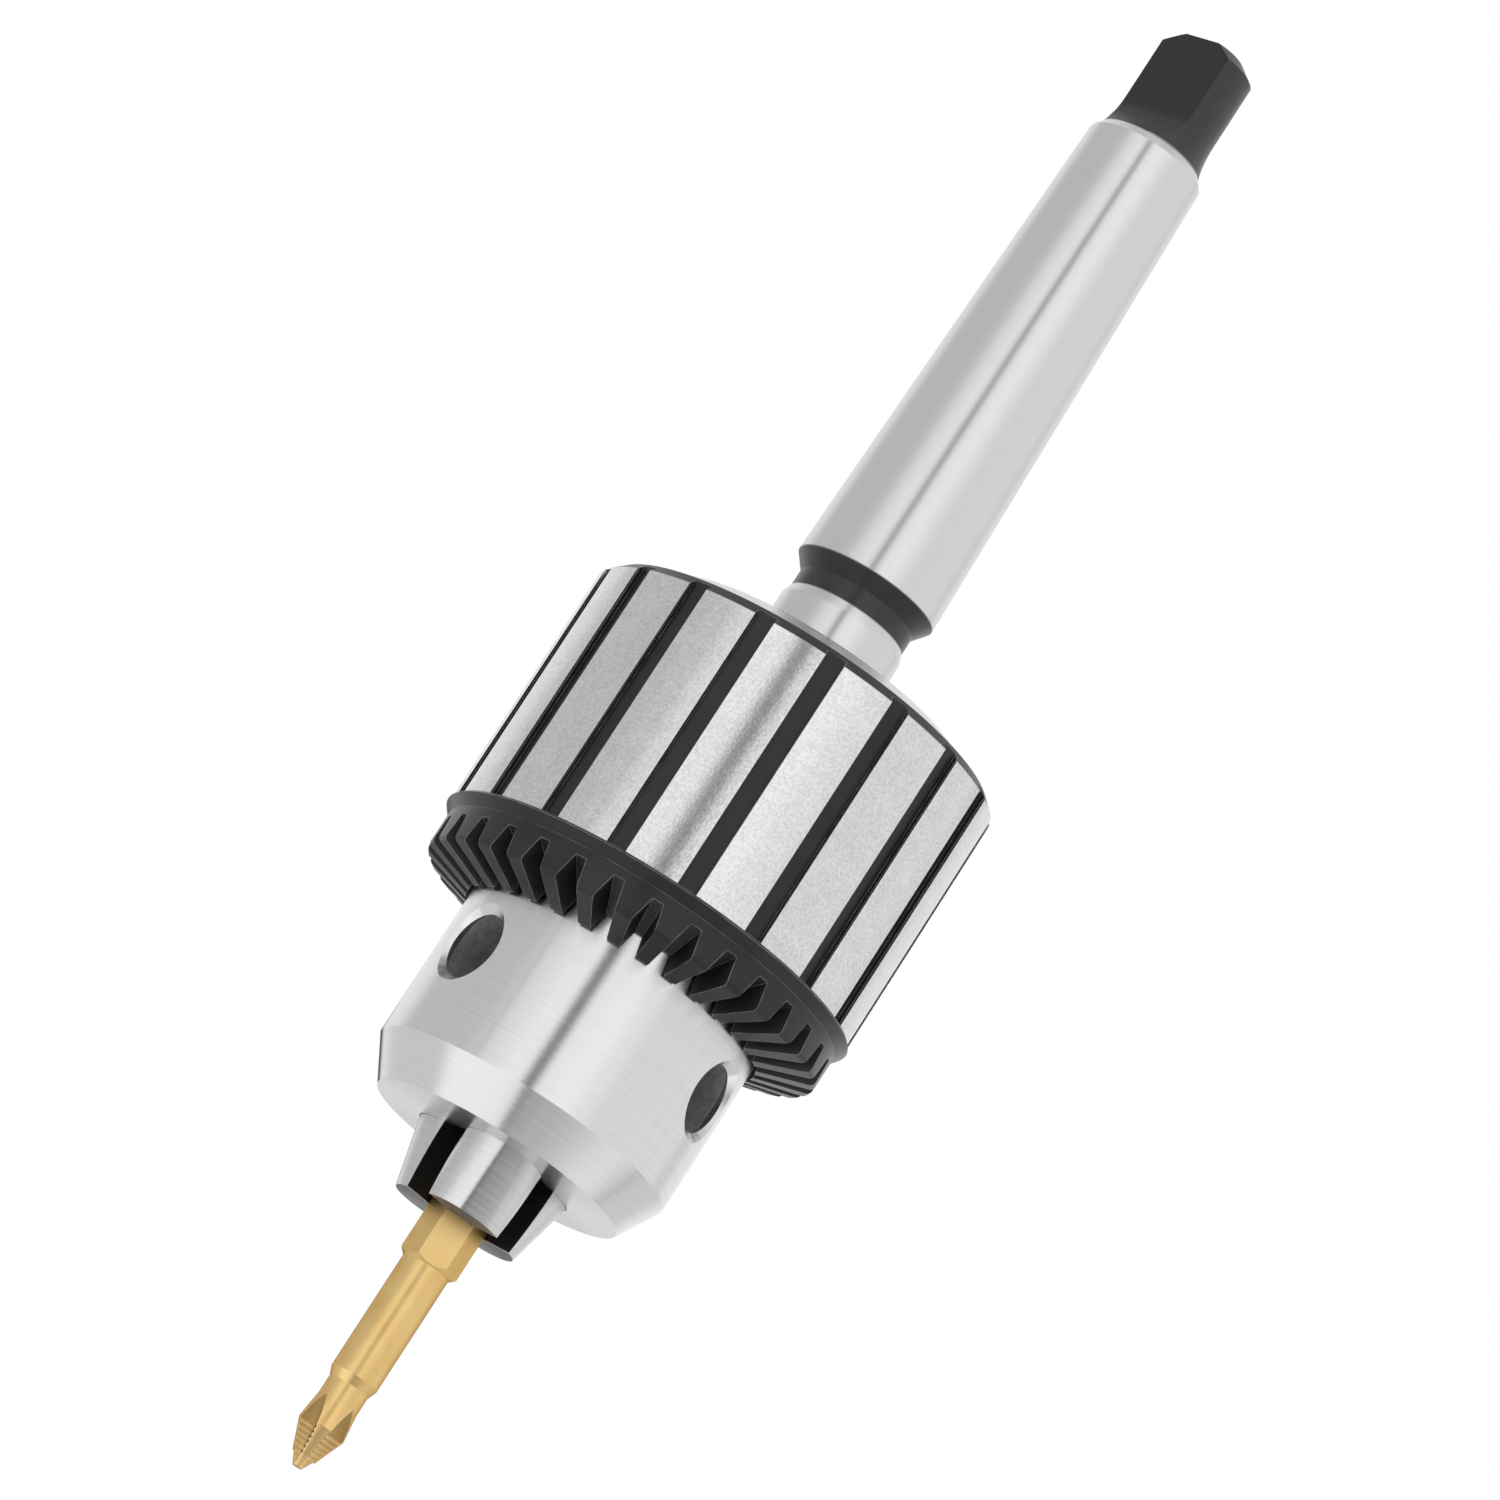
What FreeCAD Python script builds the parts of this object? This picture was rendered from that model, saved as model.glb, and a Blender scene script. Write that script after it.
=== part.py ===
import FreeCAD, Part
import math
import os

import Sketcher

# A keyed drill chuck on a Morse taper arbor, gripping a hexagonal screwdriver bit.
# Millimetres. The axis is Z, the tang is up and the jaws point down. The origin is where the
# axis crosses the gauge plane of the Morse taper.

DIMENSIONS = {
    # Morse taper 2 shank with a tang
    "morse_gauge_diameter": 17.78,
    "morse_taper_rate": 0.04995,
    "morse_gauge_offset": 5.0,
    "morse_taper_length": 61.8,
    "morse_total_length": 77.6,
    "shank_end_chamfer": 1.1,
    "tang_diameter": 12.0,
    "tang_thickness": 6.3,
    "tang_root_spread": 2.7,
    "tang_root_height": 5.0,
    "tang_waist_spread": 0.65,
    "tang_waist_height": 3.9,
    "tang_end_slant_width": 2.0,
    "tang_end_slant_height": 1.6,
    "tang_turn": -131.0,
    # Neck and chuck taper
    "neck_diameter": 15.0,
    "neck_undercut": 2.0,
    "neck_length": 4.3,
    "collar_diameter": 15.9,
    "collar_chamfer_height": 1.2,
    "collar_length": 8.2,
    "socket_diameter": 15.733,
    "socket_taper_rate": 0.04995,
    "socket_engagement": 21.0,
    "socket_depth": 24.4,
    "stub_end_chamfer": 1.0,
    # Chuck body
    "body_length": 66.3,
    "rear_edge_diameter": 40.6,
    "rear_slope_height": 2.1,
    "rear_diameter": 48.4,
    "thrust_diameter": 45.8,
    "nut_groove_diameter": 34.4,
    "nose_diameter": 37.6,
    "nose_top_diameter": 35.6,
    "nose_top_slope": 1.5,
    "nose_face_diameter": 31.8,
    "nose_slope_height": 5.2,
    "cavity_diameter": 13.6,
    "cavity_depth": 28.0,
    "drift_hole_diameter": 6.0,
    "edge_break": 0.3,
    # Pilot holes for the chuck key
    "key_hole_diameter": 8.4,
    "key_hole_level": 17.1,
    "key_hole_bottom_radius": 9.5,
    "key_hole_countersink": 0.95,
    # Sleeve and its ring gear
    "sleeve_diameter": 53.0,
    "land_height": 31.0,
    "sleeve_rim": 1.3,
    "sleeve_rear_bore": 48.6,
    "sleeve_seat_bore": 46.0,
    "sleeve_seat_height": 8.6,
    "sleeve_floor_drop": 1.6,
    "sleeve_step_gap": 0.2,
    "sleeve_front_bore": 38.6,
    "flange_diameter": 53.6,
    "flange_step": 0.3,
    "flange_slope_end": 1.6,
    "groove_count": 18,
    "groove_width": 2.5,
    "groove_depth": 0.8,
    "gear_teeth": 32,
    "gear_turn": -4.1,
    "gear_diameter": 51.6,
    "crest_drop_outer": 6.0,
    "crest_drop_inner": 8.0,
    "root_drop_outer": 2.75,
    "root_drop_inner": 5.6,
    "root_width": 1.36,
    "tooth_space_width": 2.9,
    "gear_corner_radius": 0.7,
    # Jaws
    "jaw_tilt": 15.0,
    "jaw_diameter": 10.0,
    "jaw_hole_clearance": 0.1,
    "jaw_meeting_depth": 20.0,
    "jaw_reach": 8.4,
    "jaw_length": 56.0,
    "jaw_tip_waste": 0.5,
    "jaw_hole_length": 81.0,
    "jaw_land_closed": 0.5,
    "jaw_grip_clearance": 0.015,
    "largest_shank": 13.0,
    "rear_flat_clearance": 0.3,
    # Thread between the nut and the jaws
    "nut_height": 8.1,
    "nut_gap": 0.1,
    "nut_blank_bore": 30.0,
    "nut_bore_easing": 0.05,
    "thread_pitch": 1.75,
    "thread_mouth": 1.1,
    "thread_flank": 0.28,
    "thread_depth": 0.95,
    "thread_clearance": 0.1,
    "thread_radial_clearance": 0.15,
    "thread_floor_relief": 0.05,
    "nut_thread_overcut": 0.4,
    "jaw_thread_overcut": 0.6,
    "jaw_thread_count": 14,
    "jaw_thread_turns_below": 7.0,
    # Screwdriver bit, size 2 cross point on a quarter inch hexagon
    "bit_across_flats": 6.35,
    "bit_length": 50.0,
    "bit_reach": 32.9,
    "bit_hex_reach": 6.4,
    "bit_hex_end_slope": 0.5,
    "bit_groove_diameter": 5.2,
    "bit_groove_start": 9.2,
    "bit_groove_end": 13.2,
    "bit_groove_slope": 1.0,
    "bit_shank_diameter": 5.9,
    "bit_shoulder_reach": 21.2,
    "bit_neck_diameter": 5.0,
    "bit_neck_start_reach": 22.3,
    "bit_neck_end_reach": 24.6,
    "bit_wing_diameter": 5.8,
    "bit_wing_reach": 27.9,
    "bit_wing_end_diameter": 3.0,
    "bit_wing_end_reach": 31.5,
    "bit_core_diameter": 2.6,
    "bit_tip_diameter": 1.2,
    "bit_flutes": 4,
    "flute_rise_1": -0.5,
    "flute_rise_2": 3.7,
    "flute_rise_3": 7.2,
    "flute_rise_4": 9.4,
    "flute_wing_1": 0.4,
    "flute_wing_2": 0.72,
    "flute_wing_3": 1.35,
    "flute_wing_4": 2.1,
    # Ribs across the wings' flanks
    "rib_count": 6,
    "rib_spacing": 0.6,
    "rib_gap": 0.3,
    "rib_depth": 0.14,
    "rib_first_rise": 1.7,
}

FRONT_TURN = -87.0          # about Z, from +X to the middle of the first jaw
JAW_COUNT = 3
TANG_FLATS = 2
FLUTE_SECTIONS = 4
NEAR = 1e-3                 # how closely an edge is matched
CLEAR = 2.0                 # how far a cutter reaches past the solid
LINE_LENGTH = 10.0          # of the construction lines that turned features turn about

doc = FreeCAD.newDocument("drill_chuck")
sheet = doc.addObject("Spreadsheet::Sheet", "Dimensions")
for row, (alias, value) in enumerate(DIMENSIONS.items(), start=1):
    sheet.set(f"A{row}", alias)
    sheet.set(f"B{row}", str(value))
    sheet.setAlias(f"B{row}", alias)
doc.recompute()


class Term:
    """A size as a number together with the sheet expression that gives it."""

    def __init__(self, value, text):
        self.value = value
        self.text = text

    def _join(self, other, sign, value_of):
        other = other if isinstance(other, Term) else Term(other, repr(other))
        return Term(value_of(self.value, other.value), f"({self.text} {sign} {other.text})")

    def __add__(self, other):
        return self._join(other, "+", lambda a, b: a + b)

    def __sub__(self, other):
        return self._join(other, "-", lambda a, b: a - b)

    def __mul__(self, other):
        return self._join(other, "*", lambda a, b: a * b)

    def __truediv__(self, other):
        return self._join(other, "/", lambda a, b: a / b)

    def __neg__(self):
        return Term(-self.value, f"(0 - {self.text})")


def cell(alias):
    """The sheet value of that alias."""
    return Term(float(getattr(sheet, alias)), f"Dimensions.{alias}")


def radius(alias):
    """Half of the diameter of that alias."""
    return cell(alias) / 2


def constant(value):
    return Term(value, repr(value))


# Levels along the axis
big_end = -cell("morse_gauge_offset")
small_end = big_end + cell("morse_taper_length")
tang_end = big_end + cell("morse_total_length")
collar_top = big_end - cell("neck_length")
rear_face = collar_top - cell("collar_length")
front_face = rear_face - cell("body_length")
sleeve_top = rear_face - cell("rear_slope_height")
land_top = sleeve_top - cell("sleeve_rim")
land_bottom = land_top - cell("land_height")
sleeve_floor = land_bottom - cell("sleeve_floor_drop")
nut_top = sleeve_floor + cell("nut_height")
jaw_meeting = front_face - cell("jaw_meeting_depth")
jaw_tip = front_face - cell("jaw_reach")
bit_tip = jaw_tip - cell("bit_reach")

# The jaws slide at this tilt to the axis and grip this far from it
tilt = math.radians(sheet.jaw_tilt)
jaw_sine = Term(math.sin(tilt), "sin(Dimensions.jaw_tilt * 1 deg)")
jaw_cosine = Term(math.cos(tilt), "cos(Dimensions.jaw_tilt * 1 deg)")
jaw_slope = jaw_sine / jaw_cosine
root_three = Term(math.sqrt(3), "sqrt(3)")
grip_radius = radius("bit_across_flats")
open_travel = radius("largest_shank") - grip_radius


def jaw_back_radius(level):
    """Radius of the cone that the backs of the jaws touch, at that level."""
    return (level - jaw_meeting) * jaw_slope + radius("jaw_diameter") / jaw_cosine


# Building blocks
def new_body(label):
    body = doc.addObject("PartDesign::Body", label)
    body.Label = label
    return body


def origin_feature(body, role):
    return next(item for item in body.Origin.OriginFeatures if item.Role == role)


def new_sketch(body, label, role, lift=None):
    """A sketch on an origin plane of the body, lifted along the plane's normal."""
    sketch = body.newObject("Sketcher::SketchObject", label)
    sketch.AttachmentSupport = (origin_feature(body, role), [""])
    sketch.MapMode = "FlatFace"
    if lift is not None:
        sketch.AttachmentOffset = FreeCAD.Placement(
            FreeCAD.Vector(0, 0, lift.value), FreeCAD.Rotation()
        )
        sketch.setExpression(".AttachmentOffset.Base.z", lift.text)
    return sketch


def fix_point(sketch, geometry, point, across, up):
    """Hold one point of the sketch at that distance across and up from the origin."""
    for kind, term in (("DistanceX", across), ("DistanceY", up)):
        index = sketch.addConstraint(
            Sketcher.Constraint(kind, -1, 1, geometry, point, term.value)
        )
        sketch.setExpression(f"Constraints[{index}]", term.text)


def outline(sketch, corners):
    """A closed outline of straight lines through the corners, every corner held by the sheet."""
    points = [FreeCAD.Vector(across.value, up.value, 0) for across, up in corners]
    lines = []
    for start, end in zip(points, points[1:] + points[:1]):
        lines.append(sketch.addGeometry(Part.LineSegment(start, end), False))
    for line, following in zip(lines, lines[1:] + lines[:1]):
        sketch.addConstraint(Sketcher.Constraint("Coincident", line, 2, following, 1))
    for line, (across, up) in zip(lines, corners):
        fix_point(sketch, line, 1, across, up)
    return sketch


def turned(body, label, corners, kind="Revolution", angle=360, axis=None):
    """A solid, or a groove, turned from an outline about Z or about a line in the same plane."""
    sketch = outline(new_sketch(body, label + "_outline", "XZ_Plane"), corners)
    if axis is not None:
        ends = [FreeCAD.Vector(across.value, up.value, 0) for across, up in axis]
        line = sketch.addGeometry(Part.LineSegment(*ends), True)
        for point, (across, up) in enumerate(axis, start=1):
            fix_point(sketch, line, point, across, up)
    return turn(body, label, sketch, kind, angle, "V_Axis" if axis is None else "Axis0")


def turn(body, label, sketch, kind, angle=360, line="V_Axis"):
    """Turn an outline about a line of its own sketch. A groove must remove material."""
    doc.recompute()
    volume = 0 if kind == "Revolution" else body.Shape.Volume
    feature = body.newObject("PartDesign::" + kind, label)
    feature.Profile = sketch
    feature.ReferenceAxis = (sketch, [line])
    feature.Angle = angle
    if kind == "Groove":
        doc.recompute()
        if not feature.Shape.Volume < volume:
            raise RuntimeError(f"{label} removed nothing")
    return feature


def pocket(body, label, sketch, depth=None, both_ways=False):
    """A pocket against the sketch's normal, or both ways from it, that must remove material."""
    doc.recompute()
    volume = body.Shape.Volume
    feature = body.newObject("PartDesign::Pocket", label)
    feature.Profile = sketch
    if depth is None:
        feature.Type = "ThroughAll"
    else:
        feature.Length = depth.value
        feature.setExpression("Length", depth.text)
    if both_ways:
        feature.SideType = "Symmetric"
    doc.recompute()
    if not feature.Shape.Volume < volume:
        raise RuntimeError(f"{label} removed nothing")
    return feature


def repeated(body, label, feature, count_alias=None, count=None):
    """A polar pattern of the feature about Z."""
    pattern = body.newObject("PartDesign::PolarPattern", label)
    pattern.Originals = [feature]
    pattern.Axis = (origin_feature(body, "Z_Axis"), [""])
    pattern.Angle = 360
    if count_alias:
        pattern.Occurrences = int(getattr(sheet, count_alias))
        pattern.setExpression("Occurrences", f"Dimensions.{count_alias}")
    else:
        pattern.Occurrences = count
    body.Tip = pattern
    return pattern


def turn_to(item, degrees):
    item.Placement = FreeCAD.Placement(
        FreeCAD.Vector(), FreeCAD.Rotation(FreeCAD.Vector(0, 0, 1), degrees)
    )


def ring_edge(shape, size, level):
    """The name of the full circular edge with that radius at that level."""
    for number, edge in enumerate(shape.Edges, start=1):
        if not isinstance(edge.Curve, Part.Circle):
            continue
        if abs(edge.Curve.Radius - size) < NEAR and abs(edge.Curve.Center.z - level) < NEAR:
            return f"Edge{number}"
    raise RuntimeError("no such edge")


def make_arbor():
    """Morse taper shank with a tang, neck, collar and the taper stub in the chuck, one piece."""
    body = new_body("arbor")
    half_rate = cell("morse_taper_rate") / 2
    big_radius = radius("morse_gauge_diameter") + cell("morse_gauge_offset") * half_rate
    small_radius = big_radius - cell("morse_taper_length") * half_rate
    stub_end = rear_face - cell("socket_engagement")
    stub_radius = radius("socket_diameter") - (
        cell("socket_engagement") * (cell("socket_taper_rate") / 2)
    )
    tang_radius = radius("tang_diameter")
    shoulder = small_end + cell("shank_end_chamfer")
    waist_top = shoulder + cell("tang_waist_height")
    waist_foot = tang_radius + cell("tang_waist_spread")
    undercut_end = big_end - cell("neck_undercut")
    collar_edge = collar_top - cell("collar_chamfer_height")
    turned(body, "arbor_turned", [
        (constant(0.0), stub_end),
        (stub_radius - cell("stub_end_chamfer"), stub_end),
        (stub_radius, stub_end + cell("stub_end_chamfer")),
        (radius("socket_diameter"), rear_face),
        (radius("collar_diameter"), rear_face + cell("edge_break")),
        (radius("collar_diameter"), collar_edge),
        (radius("neck_diameter"), collar_top),
        (radius("neck_diameter"), undercut_end),
        (big_radius, big_end),
        (small_radius, small_end),
        (waist_foot, shoulder),
        (waist_foot, waist_top),
        (tang_radius, waist_top),
        (tang_radius, tang_end - cell("tang_end_slant_height")),
        (tang_radius - cell("tang_end_slant_width"), tang_end),
        (constant(0.0), tang_end),
    ])
    waist = rooted_outline(body, "tang_waist_outline", tang_radius, shoulder,
                           cell("tang_waist_spread"), cell("tang_waist_height"))
    turn(body, "tang_waist", waist, "Groove")
    flat = rooted_outline(body, "tang_flat_outline", radius("tang_thickness"), shoulder,
                          cell("tang_root_spread"), cell("tang_root_height"), tang_end + CLEAR)
    pocket(body, "tang_flat", flat, both_ways=True)
    repeated(body, "tang_flats", body.Tip, count=TANG_FLATS)
    turn_to(body, sheet.tang_turn)
    return body


def rooted_outline(body, label, inside, floor, spread, height, above=None):
    """The space outside a face of the tang, whose round root spreads out down to the floor."""
    root_top = floor + height
    root = (height * height + spread * spread) / (spread * 2)
    outside = radius("tang_diameter") + CLEAR
    corners = [(inside, root_top)]
    if above is not None:
        corners.append((inside, above))
    corners += [(outside, root_top if above is None else above), (outside, floor)]
    foot = inside + spread
    sketch = new_sketch(body, label, "XZ_Plane")
    points = [FreeCAD.Vector(across.value, up.value, 0) for across, up in corners]
    points.append(FreeCAD.Vector(foot.value, floor.value, 0))
    lines = []
    for start, end in zip(points, points[1:]):
        lines.append(sketch.addGeometry(Part.LineSegment(start, end), False))
    centre = FreeCAD.Vector((inside + root).value, root_top.value, 0)
    full = Part.Circle(centre, FreeCAD.Vector(0, 0, 1), root.value)
    sweep = math.asin(height.value / root.value)
    arc = sketch.addGeometry(Part.ArcOfCircle(full, math.pi, math.pi + sweep), False)
    for line, following in zip(lines, lines[1:]):
        sketch.addConstraint(Sketcher.Constraint("Coincident", line, 2, following, 1))
    sketch.addConstraint(Sketcher.Constraint("Coincident", lines[0], 1, arc, 1))
    sketch.addConstraint(Sketcher.Constraint("Coincident", lines[-1], 2, arc, 2))
    for line, (across, up) in zip(lines, corners):
        fix_point(sketch, line, 1, across, up)
    fix_point(sketch, arc, 3, inside + root, root_top)
    sketch.addConstraint(Sketcher.Constraint("Horizontal", lines[-1]))
    return sketch


def make_chuck_body():
    """The turned body: taper socket, rear land, nut groove, nose, jaw holes and key holes."""
    body = new_body("chuck_body")
    rate = cell("socket_taper_rate") / 2
    socket_bottom = rear_face - cell("socket_depth")
    bottom_radius = radius("socket_diameter") - cell("socket_depth") * rate
    rear_land_bottom = sleeve_floor + cell("sleeve_seat_height") + cell("sleeve_step_gap")
    groove_top = nut_top + cell("nut_gap")
    groove_bottom = sleeve_floor - cell("nut_gap")
    cavity_top = front_face + cell("cavity_depth")
    turned(body, "body_turned", [
        (radius("cavity_diameter"), front_face),
        (radius("nose_face_diameter"), front_face),
        (radius("nose_diameter"), front_face + cell("nose_slope_height")),
        (radius("nose_diameter"), groove_bottom - cell("nose_top_slope")),
        (radius("nose_top_diameter"), groove_bottom),
        (radius("nut_groove_diameter"), groove_bottom),
        (radius("nut_groove_diameter"), groove_top),
        (radius("thrust_diameter"), groove_top),
        (radius("thrust_diameter"), rear_land_bottom),
        (radius("rear_diameter"), rear_land_bottom),
        (radius("rear_diameter"), sleeve_top),
        (radius("rear_edge_diameter"), rear_face),
        (radius("socket_diameter"), rear_face),
        (bottom_radius, socket_bottom),
        (radius("drift_hole_diameter"), socket_bottom),
        (radius("drift_hole_diameter"), cavity_top),
        (radius("cavity_diameter"), cavity_top),
    ])
    jaw_hole = turned(
        body, "jaw_hole",
        bar_outline(radius("jaw_diameter") + cell("jaw_hole_clearance"), constant(0.0),
                    cell("jaw_hole_length")),
        kind="Groove", axis=jaw_line(),
    )
    repeated(body, "jaw_holes", jaw_hole, count=JAW_COUNT)
    key_hole = turned(body, "key_hole", key_hole_outline(), kind="Groove", axis=key_hole_line())
    repeated(body, "key_holes", key_hole, count=JAW_COUNT)
    turn_to(body, FRONT_TURN)
    return body


def along_jaw(distance, aside):
    """The point at that distance up a jaw's line from where the lines meet, and that far aside."""
    across = distance * jaw_sine + aside * jaw_cosine
    return across, jaw_meeting + distance * jaw_cosine - aside * jaw_sine


def jaw_line():
    middle = constant(0.0)
    return [along_jaw(middle, middle), along_jaw(constant(LINE_LENGTH), middle)]


def bar_outline(size, start, end):
    """Half the section of a round bar along a jaw's line."""
    middle = constant(0.0)
    return [
        along_jaw(start, middle),
        along_jaw(start, size),
        along_jaw(end, size),
        along_jaw(end, middle),
    ]


def key_hole_outline():
    """Half the section of a key hole, which points away from the axis, opposite a jaw."""
    level = front_face + cell("key_hole_level")
    hole = radius("key_hole_diameter")
    countersink = radius("nose_diameter") - cell("key_hole_countersink")
    outside = radius("nose_diameter") + CLEAR
    return [
        (-cell("key_hole_bottom_radius"), level),
        (-cell("key_hole_bottom_radius"), level + hole),
        (-countersink, level + hole),
        (-outside, level + hole + (outside - countersink)),
        (-outside, level),
    ]


def key_hole_line():
    level = front_face + cell("key_hole_level")
    return [(constant(0.0), level), (constant(-LINE_LENGTH), level)]


def make_sleeve():
    """The sleeve with black grooves between its lands and the ring gear at its front."""
    body = new_body("sleeve")
    flange = radius("flange_diameter")
    gear = radius("gear_diameter")
    bore = radius("sleeve_front_bore")
    seat_top = sleeve_floor + cell("sleeve_seat_height")
    turned(body, "sleeve_turned", [
        (bore, land_bottom - cell("crest_drop_inner")),
        (gear, land_bottom - cell("crest_drop_outer")),
        (gear, land_bottom - cell("flange_slope_end")),
        (flange, land_bottom - cell("flange_step")),
        (radius("sleeve_diameter"), land_bottom),
        (radius("sleeve_diameter"), land_top),
        (radius("sleeve_diameter") - cell("sleeve_rim"), sleeve_top),
        (radius("sleeve_rear_bore"), sleeve_top),
        (radius("sleeve_rear_bore"), seat_top),
        (radius("sleeve_seat_bore"), seat_top),
        (radius("sleeve_seat_bore"), sleeve_floor),
        (bore, sleeve_floor),
    ])
    doc.recompute()
    blank = body.Tip
    edge = ring_edge(blank.Shape, gear.value, (land_bottom - cell("crest_drop_outer")).value)
    corner = body.newObject("PartDesign::Fillet", "gear_corner")
    corner.Base = (blank, [edge])
    corner.Radius = sheet.gear_corner_radius
    corner.setExpression("Radius", "Dimensions.gear_corner_radius")
    groove = pocket(body, "grip_groove", grip_groove_outline(body),
                    depth=sleeve_top + CLEAR - land_bottom)
    repeated(body, "grip_grooves", groove, count_alias="groove_count")
    space = body.newObject("PartDesign::SubtractiveLoft", "tooth_space")
    space.Profile = tooth_space_outline(body, "outer_space", gear + CLEAR)
    space.Sections = [tooth_space_outline(body, "inner_space", bore - CLEAR)]
    space.Ruled = True
    repeated(body, "tooth_spaces", space, count_alias="gear_teeth")
    turn_to(body, FRONT_TURN)
    return body


def grip_groove_outline(body):
    """One grip groove seen along the axis, from above the sleeve."""
    floor = radius("sleeve_diameter") - cell("groove_depth")
    outside = radius("sleeve_diameter") + CLEAR
    side = cell("groove_width") / 2
    sketch = new_sketch(body, "grip_groove_outline", "XY_Plane", lift=sleeve_top + CLEAR)
    return outline(sketch, [(floor, -side), (outside, -side), (outside, side), (floor, side)])


def tooth_space_outline(body, label, distance):
    """The space between two bevel teeth, in the plane at that distance from the axis."""
    gear = radius("gear_diameter")
    face = gear - radius("sleeve_front_bore")
    inward = (gear - distance) / face
    root_drop = cell("root_drop_outer") + inward * (
        cell("root_drop_inner") - cell("root_drop_outer")
    )
    crest_drop = cell("crest_drop_outer") + inward * (
        cell("crest_drop_inner") - cell("crest_drop_outer")
    )
    scale = distance / gear
    root_side = radius("root_width") * scale
    crest_side = radius("tooth_space_width") * scale
    widening = (crest_side - root_side) / (crest_drop - root_drop)
    open_side = crest_side + widening * CLEAR
    root = land_bottom - root_drop
    below = land_bottom - crest_drop - CLEAR
    sketch = new_sketch(body, label, "YZ_Plane")
    turn = math.radians(sheet.gear_turn)
    aside = distance * Term(math.sin(turn), "sin(Dimensions.gear_turn * 1 deg)")
    lift = distance * Term(math.cos(turn), "cos(Dimensions.gear_turn * 1 deg)")
    sketch.AttachmentOffset = FreeCAD.Placement(
        FreeCAD.Vector(aside.value, 0, lift.value),
        FreeCAD.Rotation(FreeCAD.Vector(0, 1, 0), sheet.gear_turn),
    )
    sketch.setExpression(".AttachmentOffset.Base.x", aside.text)
    sketch.setExpression(".AttachmentOffset.Base.z", lift.text)
    return outline(sketch, [
        (-root_side, root), (root_side, root), (open_side, below), (-open_side, below)
    ])


def thread_cut(body, label, corners, height):
    """A conical screw thread cut with that outline, its radius growing as the jaws' backs do."""
    sketch = outline(new_sketch(body, label + "_outline", "XZ_Plane"), corners)
    doc.recompute()
    volume = body.Shape.Volume
    helix = body.newObject("PartDesign::SubtractiveHelix", label)
    helix.Profile = sketch
    helix.ReferenceAxis = (sketch, ["V_Axis"])
    helix.Mode = "pitch-height-angle"
    helix.Pitch = sheet.thread_pitch
    helix.setExpression("Pitch", "Dimensions.thread_pitch")
    helix.Height = height.value
    helix.setExpression("Height", height.text)
    helix.Angle = sheet.jaw_tilt
    helix.setExpression("Angle", "Dimensions.jaw_tilt")
    doc.recompute()
    if not helix.Shape.Volume < volume:
        raise RuntimeError(f"{label} removed nothing")
    return helix


def thread_level(part_of_turn):
    """Where the nut's thread passes, that part of a turn round from the first jaw."""
    return sleeve_floor - cell("thread_pitch") * (1.0 - part_of_turn)


def make_nut_half(label, number):
    """Half of the split nut, turned and threaded to fit the backs of the jaws."""
    body = new_body(label)
    outside = radius("sleeve_seat_bore")
    blank_bore = radius("nut_blank_bore")
    inset = cell("thread_depth") - cell("thread_radial_clearance")
    easing = cell("nut_bore_easing")
    turned(body, label + "_turned", [
        (blank_bore, sleeve_floor), (outside, sleeve_floor),
        (outside, nut_top), (blank_bore, nut_top),
    ], angle=180)
    level = thread_level(number / 2)
    back = jaw_back_radius(level)
    side = cell("thread_pitch") / 2 - cell("thread_mouth") / 2 + cell("thread_clearance")
    floor = back + cell("thread_radial_clearance") + cell("thread_floor_relief")
    opening = back - inset - cell("nut_thread_overcut")
    floor_side = side - (floor - back) * cell("thread_flank")
    open_side = side + (back - opening) * cell("thread_flank")
    thread_cut(body, label + "_thread", [
        (floor, level - floor_side), (floor, level + floor_side),
        (opening, level + open_side), (opening, level - open_side),
    ], cell("nut_height") + cell("thread_pitch") * 2)
    turned(body, label + "_bore", [
        (blank_bore - CLEAR, sleeve_floor),
        (jaw_back_radius(sleeve_floor) - inset + easing, sleeve_floor),
        (jaw_back_radius(nut_top) - inset - easing, nut_top),
        (blank_bore - CLEAR, nut_top),
    ], kind="Groove")
    return body


def make_jaw(label, number):
    """One jaw: a tilted bar with two faces at 120 degrees, a gripping land and a thread."""
    body = new_body(label)
    size = radius("jaw_diameter")
    start = (jaw_tip - jaw_meeting) / jaw_cosine - size * jaw_slope - cell("jaw_tip_waste")
    turned(body, label + "_bar", bar_outline(size, start, start + cell("jaw_length")),
           axis=jaw_line())
    faces = outline(new_sketch(body, label + "_faces_outline", "XY_Plane"), jaw_faces())
    pocket(body, label + "_faces", faces, both_ways=True)
    tip = new_sketch(body, label + "_tip_outline", "XZ_Plane")
    outside = size + cell("jaw_diameter")
    outline(tip, [
        (-size, jaw_tip), (outside, jaw_tip),
        (outside, jaw_tip - size), (-size, jaw_tip - size),
    ])
    pocket(body, label + "_tip", tip, both_ways=True)
    flat = radius("sleeve_rear_bore") - cell("rear_flat_clearance") - open_travel
    rear = new_sketch(body, label + "_rear_flat_outline", "XZ_Plane")
    outline(rear, [
        (flat, sleeve_floor), (flat + size, sleeve_floor),
        (flat + size, land_top), (flat, land_top),
    ])
    pocket(body, label + "_rear_flat", rear, both_ways=True)
    cut_jaw_thread(body, label + "_thread", thread_level(number / JAW_COUNT))
    turn_to(body, FRONT_TURN + 360 / JAW_COUNT * number)
    return body


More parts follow.
